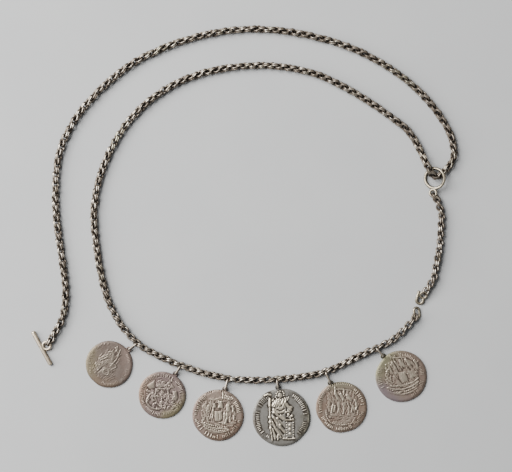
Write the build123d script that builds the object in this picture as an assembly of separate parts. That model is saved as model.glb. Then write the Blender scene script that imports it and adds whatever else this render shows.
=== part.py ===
from build123d import *

import os
from math import asin, atan2, cos, degrees, hypot, pi, radians, sin, sqrt, tan

# A silver necklace laid out flat: a long double cable chain with a toggle bar, threaded
# through a ring, and six coins hung along its loop. Millimetres, +Z up, the table at z = 0.

# The chain: pairs of oval links of round wire, each pair turned a quarter from the last.
LINK_WIRE = 0.75
LINK_PITCH = 3.85
LINK_GAP = 0.1
LINK_PLAY = 0.3
# What a bend in the chain takes of the room lengthwise in a link.
BEND_PLAY = 0.4

# The plain fittings.
RING_WIRE = 1.3
RING_ACROSS = 12.2
RING_TILT = 24.0
RING_RISES_TOWARDS = 10.0
RING_EYE_WIRE = 0.9
RING_EYE_ACROSS = 4.6
BAR_LENGTH = 20.6
BAR_WIRE = 1.9
BAR_END_ROUNDING = 0.6
BAR_LOOP_WIRE = 0.9
BAR_LOOP_ACROSS = 5.2
BAR_LOOP_TILT = 10.0
HOOK_WIRE = 1.4
HOOK_SHANK = 3.1
HOOK_BEND = 1.8
HOOK_TURN = 192.0
HOOK_RETURN = 4.4
HOOK_EYE_WIRE = 0.95
HOOK_EYE_ACROSS = 4.5
HOOK_EYE_HEIGHT = 1.8
END_RING_WIRE = 1.1
END_RING_LENGTH = 6.8
END_RING_WIDTH = 4.3
END_RING_TILT = 24.0
SOLDER = 0.35
# Room between the wire of an end link and the wire of the eye that it holds.
HOLD_GAP = 0.35

# The coins, and the rings that they hang by.
COIN_THICKNESS = 1.1
COIN_RIM_HEIGHT = 0.16
COIN_RIM_SHARE = 0.055
COIN_EDGE_ROUNDING = 0.2
RELIEF_HEIGHT = 0.24
RELIEF_DEPTH = 0.1
LEGEND_BARS = 30
LEGEND_BAR_WIDTH = 0.42
LEGEND_BAR_SHARE = 0.11
LEGEND_AT_SHARE = 0.845
COIN_EYE_WIRE = 0.8
COIN_EYE_ACROSS = 3.2
COIN_EYE_REACH = 0.75
COIN_EYE_TILT = 25.0
JUMP_WIRE = 1.0
JUMP_PLAY = 0.15
JUMP_LIFT = 0.03

# An arc takes this share of the shorter run on each side of a corner of a route.
ARC_SHARE = 0.45
# How many pairs of links at a tube's end are made as real links.
REAL_PAIRS = 2
# The short chain's first pair leans with the ring's eye, and its last one stands upright.
SHORT_FIRST_ROLL = -22.0

# Coins from left to right: diameter, centre, the pair of links that each hangs on, counted
# from the ring, and the motif with the angle at which it stands.
COINS = [
    {"across": 25.9, "x": -74.8, "y": -70.7, "pair": 76, "motif": "lion_figure", "stands": -44.0},
    {"across": 26.1, "x": -45.6, "y": -87.6, "pair": 83, "motif": "crest", "stands": -40.0},
    {"across": 28.4, "x": -14.9, "y": -98.7, "pair": 90, "motif": "ship", "stands": -10.0},
    {"across": 31.9, "x": 20.1, "y": -99.8, "pair": 97, "motif": "column_figure", "stands": 0.0},
    {"across": 28.2, "x": 53.1, "y": -94.3, "pair": 104, "motif": "ship", "stands": 3.0},
    {"across": 28.4, "x": 86.0, "y": -77.3, "pair": 112, "motif": "ship", "stands": 22.0},
]

# The way each fitting points on the table, in degrees from +X.
BAR_LOOP_HEADING = 28.5
RING_EYE_HEADING = -97.0
HOOK_HEADING = -93.0
END_RING_HEADING = 96.0
# Where round the end ring's lower bend the chain holds it, and how far inside it reaches.
END_RING_HOLD = 220.0
END_RING_REACH = 1.9

# What follows from the sizes above.
TWIN_SPREAD = LINK_WIRE + LINK_GAP
LINK_WIDTH = TWIN_SPREAD + 2 * LINK_WIRE + 2 * LINK_PLAY
CROWN_DROP = LINK_WIDTH / 2 - sqrt((LINK_WIDTH / 2) ** 2 - (TWIN_SPREAD / 2) ** 2)
LINK_LENGTH = LINK_PITCH + LINK_WIRE + LINK_GAP + 2 * CROWN_DROP + BEND_PLAY
CHAIN_ACROSS = 2 * hypot(LINK_WIDTH / 2, TWIN_SPREAD / 2) + LINK_WIRE
FLOOR_RUN = CHAIN_ACROSS / 2

# The routes of the chain's middle line: x, y and how far it is lifted off the table.
# The long chain goes from the toggle bar's loop to the corner inside the ring, and from
# there round the neck loop to the end ring. The short one hangs on the ring's eye.
OUTER_ROUTE = [
    (-108.1, -58.9, 0.0), (-101.2, -48.8, 0.0), (-98.7, -38.9, 0.0), (-98.6, -26.2, 0.0),
    (-100.8, -11.4, 0.0), (-103.5, 6.2, 0.0), (-104.6, 24.4, 0.0), (-102.9, 45.5, 0.0),
    (-95.1, 62.9, 0.0), (-81.1, 79.6, 0.0), (-62.5, 95.2, 0.0), (-40.6, 105.6, 0.0),
    (-16.6, 112.3, 0.0), (9.2, 114.4, 0.0), (35.1, 110.7, 0.0), (58.7, 103.8, 0.0),
    (80.2, 92.6, 0.0), (98.9, 77.2, 0.0), (111.0, 60.9, 0.0), (115.4, 48.3, 0.0),
    (114.2, 40.9, 0.0), (110.7, 36.4, 0.0), (104.6, 30.9, 0.8), (100.0, 38.0, 4.3),
    (96.6, 46.6, 0.0), (90.4, 58.2, 0.0), (82.2, 64.1, 0.0),
]
INNER_ROUTE = [
    (82.2, 64.1, 0.0), (74.0, 70.0, 0.0), (57.9, 80.5, 0.0), (37.0, 90.5, 0.0), (9.2, 94.7, 0.0),
    (-22.3, 91.1, 0.0), (-49.5, 78.3, 0.0), (-68.3, 59.0, 0.0), (-80.0, 34.7, 0.0),
    (-83.9, 12.3, 0.0), (-81.0, -13.0, 0.0), (-76.3, -34.2, 0.0), (-67.8, -50.3, 0.0),
    (-56.9, -61.5, 0.0), (-34.8, -71.9, 0.0), (-10.6, -79.0, 0.0), (16.9, -79.4, 0.0),
    (43.9, -75.7, 0.0), (63.7, -65.3, 0.0), (80.7, -57.9, 0.0), (90.4, -48.8, 0.0),
    (94.1, -43.6, 0.0),
]
SHORT_ROUTE = [
    (104.1, 22.4, 0.0), (105.9, 18.9, 0.0), (108.2, 13.4, 0.0), (107.9, 2.9, 0.0),
    (106.9, -8.1, 0.0), (105.0, -17.0, 0.0), (103.9, -23.4, 0.0), (101.2, -28.0, 0.0),
    (98.9, -31.4, 0.0),
]


def flat(heading):
    """The way on the table that a heading in degrees points."""
    return Vector(cos(radians(heading)), sin(radians(heading)), 0)


def tilted(origin, heading, rise):
    """A plane at origin whose X follows a heading and climbs by rise degrees."""
    way = flat(heading) * cos(radians(rise)) + Vector(0, 0, sin(radians(rise)))
    return Plane(origin=origin, x_dir=way, z_dir=way.cross(flat(heading - 90)) * -1)


def oval(length, width, wire):
    """An oval ring of round wire in XY, its middle line length by width, long way along X."""
    side, bend = (length - width) / 2, width / 2
    top = Line((side, bend), (-side, bend))
    left = CenterArc((-side, 0), bend, 90, 180)
    bottom = Line((-side, -bend), (side, -bend))
    right = CenterArc((side, 0), bend, -90, 180)
    return swept(Wire([part.edge() for part in (top, left, bottom, right)]), wire)[0]


def twin(wire):
    """A pair of links side by side, in planes along XY, their middle at the origin."""
    link = oval(LINK_LENGTH, LINK_WIDTH, wire)
    return [Pos(0, 0, side * TWIN_SPREAD / 2) * link for side in (-1, 1)]


def path_of(route):
    """Straight runs joined by arcs as large as the runs allow, and the arcs' radii."""
    points = [Vector(x, y, FLOOR_RUN + lift) for x, y, lift in route]
    radii = []
    for before, corner, after in zip(points, points[1:], points[2:]):
        into, out = corner - before, after - corner
        run = min(into.length, out.length)
        radii.append(ARC_SHARE * run / tan(radians(into.get_angle(out)) / 2))
    return Wire(FilletPolyline(*points, radius=radii).edges()), radii


def at(path, distance):
    """The point of a path that lies a distance from its start."""
    return path.position_at(distance / path.length)


def section_of(path, start, end):
    """The stretch of a path between two distances from its start."""
    kept = []
    done = 0.0
    for edge in path.order_edges():
        low = max(0.0, (start - done) / edge.length)
        high = min(1.0, (end - done) / edge.length)
        done += edge.length
        if high <= low:
            continue
        kept.append(edge if (low, high) == (0.0, 1.0) else edge.trim(low, high))
    return Wire(kept)


def pair_plane(path, distance, pitch, roll):
    """The plane of the pair of links whose near end is a distance along a path."""
    near, far = at(path, distance), at(path, distance + pitch)
    axis = (far - near).normalized()
    side = axis.cross(Vector(0, 0, 1)).normalized()
    lift = side.cross(axis)
    normal = side * cos(radians(roll)) + lift * sin(radians(roll))
    return Plane(origin=(near + far) * 0.5, x_dir=axis, z_dir=normal)


def swept(path, wire):
    """Round wire along a path, and how far its volume is from section times length."""
    rod = sweep(Plane(origin=path @ 0, z_dir=path % 0) * Circle(wire / 2), path=path)
    share = rod.volume / (pi * wire**2 / 4 * path.length) - 1
    return rod, share


def long_chain(name, route, real_at_start, slots):
    """A long chain's tube with real pairs of links at its free end, and slots for jump rings."""
    path, radii = path_of(route)
    count = round(path.length / LINK_PITCH)
    pitch = path.length / count
    cut_end = REAL_PAIRS * pitch - LINK_WIRE
    if real_at_start:
        body = section_of(path, cut_end, path.length)
        starts = [pair * pitch for pair in range(REAL_PAIRS)]
    else:
        body = section_of(path, 0, path.length - cut_end)
        starts = [path.length - (pair + 1) * pitch for pair in range(REAL_PAIRS)]
    tube, error = swept(body, CHAIN_ACROSS)
    planes = [
        pair_plane(path, start, pitch, 90 * pair) for pair, start in enumerate(starts)
    ]
    for room in twin(LINK_WIRE + 2 * LINK_GAP):
        tube -= planes[-1] * room
    for slot in slots:
        tube -= slot
    links = [plane * link for plane in planes for link in twin(LINK_WIRE)]
    print(name, "length", round(path.length, 1), "pairs", count, "volume off by", round(error, 5))
    print("  radii", [round(radius, 1) for radius in radii])
    return Compound([*tube.solids(), *[link.solid() for link in links]])


def short_chain():
    """Every pair of links of the short chain, as loose rings that pass through each other."""
    path, radii = path_of(SHORT_ROUTE)
    count = round(path.length / LINK_PITCH)
    pitch = path.length / count
    links = []
    for pair in range(count):
        roll = SHORT_FIRST_ROLL * (1 - pair / (count - 1)) + 90 * pair
        plane = pair_plane(path, pair * pitch, pitch, roll)
        links += [(plane * link).solid() for link in twin(LINK_WIRE)]
    print("chain_short length", round(path.length, 1), "pairs", count, "pitch", round(pitch, 3))
    print("  radii", [round(radius, 1) for radius in radii])
    return Compound(links)


def eye_centre(path, at_start, across, wire):
    """Where the middle of a round eye lies that the pair at a chain's end holds."""
    pitch = path.length / round(path.length / LINK_PITCH)
    way = (path % 0) * -1 if at_start else path % 1
    end = path @ 0 if at_start else path @ 1
    reach = (LINK_LENGTH - pitch) / 2 + across / 2 - wire - LINK_WIRE / 2 - HOLD_GAP
    return end + way * reach


def ring(path):
    """The leaning ring, its low side on the table, with its small eye soldered to the rim."""
    bend = (RING_ACROSS - RING_WIRE) / 2
    away = (RING_ACROSS + RING_EYE_ACROSS) / 2 - SOLDER
    hoop = Torus(bend, RING_WIRE / 2)
    turn = RING_EYE_HEADING - RING_RISES_TOWARDS
    eye = Pos(away, 0, 0) * Torus((RING_EYE_ACROSS - RING_EYE_WIRE) / 2, RING_EYE_WIRE / 2)
    lean = tilted((0, 0, 0), RING_RISES_TOWARDS, RING_TILT)
    to_eye = lean.from_local_coords(Vector(away * cos(radians(turn)), away * sin(radians(turn)), 0))
    held = eye_centre(path, True, RING_EYE_ACROSS, RING_EYE_WIRE)
    middle = Vector(held.X - to_eye.X, held.Y - to_eye.Y, RING_WIRE / 2 + bend * sin(radians(RING_TILT)))
    return Pos(*middle) * (lean * (hoop + Rot(0, 0, turn) * eye))


def toggle_bar(path):
    """The round bar with its loop, which leans up on the chain's side."""
    bar = Rot(90, 0, 0) * Cylinder(BAR_WIRE / 2, BAR_LENGTH)
    bar = fillet(bar.edges().filter_by(GeomType.CIRCLE), BAR_END_ROUNDING)
    away = (BAR_WIRE + BAR_LOOP_ACROSS) / 2 - SOLDER
    loop = Pos(away, 0, 0) * Torus((BAR_LOOP_ACROSS - BAR_LOOP_WIRE) / 2, BAR_LOOP_WIRE / 2)
    held = eye_centre(path, True, BAR_LOOP_ACROSS, BAR_LOOP_WIRE)
    middle = held - flat(BAR_LOOP_HEADING) * away * cos(radians(BAR_LOOP_TILT))
    lean = tilted((middle.X, middle.Y, BAR_WIRE / 2), BAR_LOOP_HEADING, BAR_LOOP_TILT)
    return lean * (bar + loop)


def hook(path):
    """The hook: an eye at the chain's end, a thick shank, a bend and a long tongue back up."""
    eye_bend = (HOOK_EYE_ACROSS - HOOK_EYE_WIRE) / 2
    shank = Line((eye_bend, 0), (HOOK_SHANK, 0))
    bend = CenterArc((HOOK_SHANK, -HOOK_BEND), HOOK_BEND, 90, -HOOK_TURN)
    tongue = Line(bend @ 1, (bend @ 1) + (bend % 1) * HOOK_RETURN)
    rod, _ = swept(Wire([shank.edge(), bend.edge(), tongue.edge()]), HOOK_WIRE)
    tip = Pos(*(tongue @ 1)) * Sphere(HOOK_WIRE / 2)
    eye = Torus(eye_bend, HOOK_EYE_WIRE / 2)
    droop = degrees(asin((HOOK_EYE_HEIGHT - HOOK_WIRE / 2) / (HOOK_SHANK + HOOK_BEND)))
    held = eye_centre(path, False, HOOK_EYE_ACROSS, HOOK_EYE_WIRE)
    return tilted((held.X, held.Y, HOOK_EYE_HEIGHT), HOOK_HEADING, -droop) * (eye + rod + tip)


def end_ring(path):
    """The oval end ring, its far side on the table and its chain side lifted."""
    length, width = END_RING_LENGTH - END_RING_WIRE, END_RING_WIDTH - END_RING_WIRE
    lift = END_RING_WIRE / 2 + width / 2 * sin(radians(END_RING_TILT))
    contact = path @ 1 + (path % 1) * ((LINK_LENGTH - LINK_PITCH) / 2 - END_RING_REACH)
    bend_centre = contact - flat(END_RING_HOLD) * (width / 2)
    middle = bend_centre + flat(END_RING_HEADING) * ((length - width) / 2)
    lean = tilted((middle.X, middle.Y, lift), END_RING_HEADING + 90, END_RING_TILT)
    return lean * (Rot(0, 0, 90) * oval(length, width, END_RING_WIRE))


def shape(*points):
    """A flat outline whose points are shares of the coin's radius."""
    return Polygon(*points, align=None)


def bar_at(x, y, width, height, turn=0):
    """A small bar of the relief."""
    return Pos(x, y) * Rot(0, 0, turn) * Rectangle(width, height)


def ship_motif():
    """A three-masted ship under sail on the sea."""
    hull = shape(
        (-0.50, -0.14), (-0.44, -0.36), (-0.30, -0.44), (0.34, -0.45), (0.50, -0.36), (0.58, -0.02),
        (0.46, -0.04), (0.40, -0.20), (-0.26, -0.22),
    )
    sails = shape((-0.16, -0.16), (0.12, -0.18), (0.16, 0.14), (-0.10, 0.16))
    sails += shape((-0.08, 0.20), (0.13, 0.19), (0.14, 0.44), (-0.04, 0.45))
    sails += shape((-0.46, -0.08), (-0.22, -0.16), (-0.18, 0.12), (-0.38, 0.14))
    sails += shape((-0.36, 0.18), (-0.17, 0.17), (-0.14, 0.36), (-0.30, 0.37))
    sails += shape((0.20, -0.14), (0.42, 0.00), (0.30, 0.34), (0.22, 0.30))
    masts = bar_at(-0.24, 0.14, 0.03, 0.66, 4) + bar_at(0.05, 0.20, 0.03, 0.80, 2)
    masts += bar_at(0.29, 0.14, 0.03, 0.56, -2) + bar_at(-0.56, 0.04, 0.03, 0.40, 52)
    flags = shape((0.06, 0.58), (0.30, 0.60), (0.06, 0.66))
    flags += shape((0.30, 0.40), (0.48, 0.42), (0.30, 0.47))
    sea = bar_at(0, -0.53, 1.06, 0.035) + bar_at(0, -0.61, 0.86, 0.035)
    return hull + sails + masts + flags + sea


def robe(lean):
    """A standing figure in a long robe, its hem on the ground line, leaning a little."""
    body = shape(
        (-0.26, -0.60), (0.14, -0.60), (0.16, -0.20), (0.10 + lean, 0.06), (0.16 + lean, 0.30),
        (0.04 + lean, 0.42), (-0.10 + lean, 0.42), (-0.20 + lean, 0.28), (-0.18, 0.00),
        (-0.30, -0.30),
    )
    head = Pos(-0.03 + lean, 0.53) * Circle(0.10)
    hair = Pos(-0.03 + lean, 0.60) * Rectangle(0.18, 0.06)
    return body + head + hair


def column_figure_motif():
    """A robed woman who holds a staff and leans on a book upon a column."""
    figure = robe(0.04) + bar_at(-0.34, 0.02, 0.045, 1.20) + bar_at(-0.25, 0.16, 0.05, 0.24, 52)
    arm = bar_at(0.22, 0.20, 0.06, 0.28, -60)
    column = bar_at(0.34, -0.34, 0.20, 0.50) + bar_at(0.34, -0.07, 0.28, 0.06)
    book = bar_at(0.36, 0.04, 0.16, 0.14, 12)
    ground = bar_at(0, -0.63, 0.84, 0.06)
    return figure + arm + column + book + ground


def lion_figure_motif():
    """A robed standing figure with a staff, and a lion seated at its feet."""
    figure = robe(0.0) + bar_at(0.22, 0.10, 0.04, 0.96, -10) + bar_at(0.15, 0.20, 0.05, 0.22, -58)
    lion = Pos(-0.42, -0.44) * Ellipse(0.17, 0.11) + Pos(-0.52, -0.24) * Circle(0.10)
    lion += bar_at(-0.50, -0.50, 0.06, 0.20) + bar_at(-0.32, -0.52, 0.07, 0.16)
    ground = bar_at(-0.10, -0.62, 0.96, 0.06)
    return figure + lion + ground


def crest_motif():
    """A crowned shield between two scrolls."""
    field = shape(
        (-0.24, 0.26), (0.24, 0.26), (0.26, -0.14), (0.14, -0.36), (0, -0.46), (-0.14, -0.36),
        (-0.26, -0.14),
    )
    field -= shape((-0.17, 0.19), (-0.03, 0.19), (-0.03, -0.06), (-0.19, -0.06))
    field -= shape((0.03, -0.12), (0.19, -0.12), (0.11, -0.28), (0.03, -0.34))
    crown = bar_at(0, 0.36, 0.40, 0.07)
    for x in (-0.17, 0, 0.17):
        crown += shape((x - 0.07, 0.38), (x + 0.07, 0.38), (x, 0.56))
    scrolls = None
    for side in (-1, 1):
        curl = Pos(side * 0.42, 0.10) * (Circle(0.13) - Circle(0.07))
        curl += Pos(side * 0.42, -0.22) * (Circle(0.17) - Circle(0.10))
        curl += bar_at(side * 0.30, -0.44, 0.05, 0.22, side * 40)
        scrolls = curl if scrolls is None else scrolls + curl
    return field + crown + scrolls


MOTIFS = {
    "ship": ship_motif,
    "column_figure": column_figure_motif,
    "lion_figure": lion_figure_motif,
    "crest": crest_motif,
}


def hang_of(coin, inner_path):
    """Where a coin's jump ring passes through the chain, and the way there from the coin."""
    count = round(inner_path.length / LINK_PITCH)
    point = inner_path.position_at((coin["pair"] + 0.5) / count)
    middle = Vector(coin["x"], coin["y"], point.Z)
    return point, (point - middle).normalized(), (point - middle).length


def coin_solid(coin, way):
    """A struck coin with raised rim, worn legend ring and motif, and its soldered eye."""
    radius = coin["across"] / 2
    blank = Pos(0, 0, COIN_THICKNESS / 2) * Cylinder(radius, COIN_THICKNESS)
    rim = Cylinder(radius, COIN_RIM_HEIGHT) - Cylinder(radius * (1 - COIN_RIM_SHARE), COIN_RIM_HEIGHT)
    blank += Pos(0, 0, COIN_THICKNESS + COIN_RIM_HEIGHT / 2) * rim
    circles = blank.edges().filter_by(GeomType.CIRCLE)
    outer = circles.filter_by(lambda edge: edge.radius > radius - 1e-3)
    blank = fillet(outer, COIN_EDGE_ROUNDING)
    relief = Rot(0, 0, coin["stands"]) * scale(MOTIFS[coin["motif"]](), by=radius)
    legend_bar = Rectangle(radius * LEGEND_BAR_SHARE, LEGEND_BAR_WIDTH)
    for bar in range(LEGEND_BARS):
        turn = bar * 360 / LEGEND_BARS
        relief += Rot(0, 0, turn) * Pos(radius * LEGEND_AT_SHARE, 0) * legend_bar
    relief = extrude(Pos(0, 0, COIN_THICKNESS - RELIEF_DEPTH) * relief, RELIEF_DEPTH + RELIEF_HEIGHT)
    eye = Torus((COIN_EYE_ACROSS - COIN_EYE_WIRE) / 2, COIN_EYE_WIRE / 2)
    heading = degrees(atan2(way.Y, way.X))
    middle = flat(heading) * (radius + COIN_EYE_REACH) + Vector(0, 0, eye_height())
    eye = tilted(middle, heading, COIN_EYE_TILT) * eye
    return Pos(coin["x"], coin["y"], 0) * (blank + relief + eye)


def eye_height():
    """The height of a coin eye's middle: its inner side sits in the middle of the coin's edge."""
    bend = (COIN_EYE_ACROSS - COIN_EYE_WIRE) / 2
    return (COIN_THICKNESS + COIN_RIM_HEIGHT) / 2 + bend * sin(radians(COIN_EYE_TILT))


def jump_ring(coin, point, way, distance):
    """An upright oval ring from a coin's eye to the middle of the chain, and its slot there."""
    height = 2 * (point.Z - JUMP_WIRE / 2 - JUMP_LIFT)
    bend = height / 2
    eye_at = distance - coin["across"] / 2 - COIN_EYE_REACH
    sink = point.Z - eye_height()
    length = max(eye_at + bend - sqrt(bend**2 - sink**2), height + JUMP_LIFT)
    middle = point - way * (length / 2)
    upright = Plane(origin=middle, x_dir=way, z_dir=way.cross(Vector(0, 0, 1)))
    room = JUMP_WIRE + 2 * JUMP_PLAY
    slot = SlotOverall(length + room, height + room) - SlotOverall(length - room, height - room)
    return upright * oval(length, height, JUMP_WIRE), upright * extrude(slot, room / 2, both=True)


os.makedirs("parts", exist_ok=True)
outer_path = path_of(OUTER_ROUTE)[0]
inner_path = path_of(INNER_ROUTE)[0]
short_path = path_of(SHORT_ROUTE)[0]
nodes = {
    "ring": ring(short_path),
    "toggle_bar": toggle_bar(outer_path),
    "hook": hook(short_path),
    "end_ring": end_ring(inner_path),
}
slots = []
for number, coin in enumerate(COINS, 1):
    point, way, distance = hang_of(coin, inner_path)
    nodes[f"coin_{number}"] = coin_solid(coin, way)
    nodes[f"jump_ring_{number}"], slot = jump_ring(coin, point, way, distance)
    slots.append(slot)
nodes["chain_outer"] = long_chain("chain_outer", OUTER_ROUTE, True, [])
nodes["chain_inner"] = long_chain("chain_inner", INNER_ROUTE, False, slots)
nodes["chain_short"] = short_chain()

for name, solid in nodes.items():
    export_step(solid, f"parts/{name}.step")
boxes = [solid.bounding_box() for solid in nodes.values()]
print("x", round(min(box.min.X for box in boxes), 2), round(max(box.max.X for box in boxes), 2))
print("y", round(min(box.min.Y for box in boxes), 2), round(max(box.max.Y for box in boxes), 2))
print("z", round(min(box.min.Z for box in boxes), 4), round(max(box.max.Z for box in boxes), 2))
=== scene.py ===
import math

import bmesh
import bpy
import numpy as np
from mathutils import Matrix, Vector


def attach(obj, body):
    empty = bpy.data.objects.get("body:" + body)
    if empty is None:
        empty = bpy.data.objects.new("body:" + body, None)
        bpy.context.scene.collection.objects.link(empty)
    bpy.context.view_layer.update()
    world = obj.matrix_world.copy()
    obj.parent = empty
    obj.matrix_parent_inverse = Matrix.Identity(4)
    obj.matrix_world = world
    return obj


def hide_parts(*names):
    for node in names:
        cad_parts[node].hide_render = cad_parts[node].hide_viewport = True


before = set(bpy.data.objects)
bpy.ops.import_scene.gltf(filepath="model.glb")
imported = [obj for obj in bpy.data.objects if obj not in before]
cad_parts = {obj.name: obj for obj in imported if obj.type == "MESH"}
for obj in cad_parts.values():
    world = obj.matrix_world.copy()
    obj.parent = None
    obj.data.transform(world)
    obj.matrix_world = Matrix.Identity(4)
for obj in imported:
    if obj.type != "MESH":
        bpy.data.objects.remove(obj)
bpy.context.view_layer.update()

# The camera looks straight down at the necklace, which lies flat on a table, and its frame is about 282 mm wide.
# Places on the table are in millimetres from the middle of the necklace's box.
MM = 0.001
VIEW_MIDDLE = (6.1, -0.035)
VIEW_WIDTH = 282.1
VIEW_HEIGHT = 900.0
FILM = 36.0
FAR_END = 10.0


def placed(name, data):
    """A new object in the scene, made of this data."""
    made = bpy.data.objects.new(name, data)
    bpy.context.collection.objects.link(made)
    return made


lens = bpy.data.cameras.new("camera")
lens.sensor_width = FILM
lens.lens = FILM * VIEW_HEIGHT / VIEW_WIDTH
lens.clip_end = FAR_END
camera = placed("camera", lens)
camera.location = (VIEW_MIDDLE[0] * MM, VIEW_MIDDLE[1] * MM, VIEW_HEIGHT * MM)
bpy.context.scene.camera = camera

# The chain is a double cable chain of silver: oval links of round wire in pairs, side by side, each pair turned
# a quarter from the last and passed through it, soldered shut. Wear polishes the links' outer sides, and their
# upward wire is painted brighter as a painted highlight; their lower sides and the metal inside, where one link
# lies on the next, are painted dark as tarnished metal and painted shade.
CHAIN_HALF = 1.91
ROUTE_STEPS = 24
# A route is the middle line of a run, as x, y and, where it is raised, its lift off the table. The outer run goes
# from the toggle bar round the outside and down through the ring, and the inner run from there round the neck
# loop. The short run hangs on the ring's eye.
OUTER_ROUTE = [
    (-108.1, -58.9), (-101.2, -48.8), (-98.7, -38.9), (-98.6, -26.2), (-100.8, -11.4), (-103.5, 6.2),
    (-104.6, 24.4), (-102.9, 45.5), (-95.1, 62.9), (-81.1, 79.6), (-62.5, 95.2), (-40.6, 105.6),
    (-16.6, 112.3), (9.2, 114.4), (35.1, 110.7), (58.7, 103.8), (80.2, 92.6), (98.9, 77.2),
    (111.0, 60.9), (115.4, 48.3), (114.2, 40.9), (110.7, 36.4), (104.6, 30.9, 0.8), (100.0, 38.0, 4.3),
    (96.6, 46.6), (90.4, 58.2), (82.2, 64.1),
]
INNER_ROUTE = [
    (82.2, 64.1), (74.0, 70.0), (57.9, 80.5), (37.0, 90.5), (9.2, 94.7), (-22.3, 91.1), (-49.5, 78.3),
    (-68.3, 59.0), (-80.0, 34.7), (-83.9, 12.3), (-81.0, -13.0), (-76.3, -34.2), (-67.8, -50.3),
    (-56.9, -61.5), (-34.8, -71.9), (-10.6, -79.0), (16.9, -79.4), (43.9, -75.7), (63.7, -65.3),
    (80.7, -57.9), (90.4, -48.8), (94.1, -43.6),
]
SHORT_ROUTE = [
    (104.1, 22.4), (105.9, 18.9), (108.2, 13.4), (107.9, 2.9), (106.9, -8.1), (105.0, -17.0),
    (103.9, -23.4), (101.2, -28.0), (98.9, -31.4),
]
# A link's length and width are those of its wire's middle line. Every link is rolled, tipped and shifted a little
# at random, and all of them lean to the same side, as in a laid rope. The ends of a link, from one share of its
# length off its middle to another, are painted darker than its sides, as tarnished metal and painted shade where
# the links lie in each other.
LINK_WIRE = 0.98
OUTER_LINK_LENGTH = 4.04
INNER_LINK_LENGTH = 3.96
LINK_WIDTH = 2.86
TWIN_SPREAD = 1.02
LINK_CORNERS = 12
WIRE_SIDES = 6
ROLL_SHAKE = 15.0
LINK_SLACK = 0.19
LINK_SHIFT = 0.16
LINK_LEAN = 0.26
END_TARNISH_AND_SHADE = 0.36
END_FROM, END_TO = 0.16, 0.36
# A tipped link stays nearer to the table's plane, and every random draw has its own step from a run's seed.
FLAT_WANDER = 0.3
TIP_DRAW, SHIFT_DRAW, TONE_DRAW = 3, 5, 7
# Pairs at set places, with their share of the run: the first pairs, through the toggle bar's loop and the ring's
# eye, and those that the coins hang on.
OUTER_START = [(0, 0.0012)]
SHORT_START = [(0, 0.010)]
HANGING_PAIRS = [(119, 0.6375), (131, 0.6958), (143, 0.7542), (153, 0.8125), (165, 0.8708), (178, 0.9375)]
OUTER_PAIRS = 168
INNER_PAIRS = 189
SHORT_PAIRS = 24
# How far the chain is twisted at some of its pairs, in degrees. A coin's jump ring goes through a pair that lies
# flat, and the links at a fitting stand square to the eye that they hold.
OUTER_TURNS = [(0, 0), (10, 40), (45, 50), (81, 40), (118, 48), (167, 45)]
INNER_TURNS = [
    (0, 45), (35, 52), (70, 40), (104, 48), (119, 0), (125, 38), (131, 0), (137, 38), (143, 0), (148, 38),
    (153, 0), (159, 38), (165, 0), (171, 45), (178, 90), (188, 90),
]
SHORT_TURNS = [(0, 338), (23, 360)]


def route_curve(name, route):
    """A smooth curve guided by a route's points."""
    curve = bpy.data.curves.new(name, "CURVE")
    curve.dimensions = "3D"
    curve.resolution_u = ROUTE_STEPS
    spline = curve.splines.new("NURBS")
    spline.points.add(len(route) - 1)
    for point, (x, y, *lift) in zip(spline.points, route):
        point.co = (x * MM, y * MM, (CHAIN_HALF + sum(lift)) * MM, 1)
    spline.order_u = 3
    spline.use_endpoint_u = True
    return placed(name, curve)


def plain_mesh(source, name):
    """The shape that an object's modifiers give, as a mesh of its own, and the object gone."""
    bpy.context.view_layer.update()
    graph = bpy.context.evaluated_depsgraph_get()
    mesh = bpy.data.meshes.new_from_object(source.evaluated_get(graph), depsgraph=graph)
    bpy.data.objects.remove(source)
    return placed(name, mesh)


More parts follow.
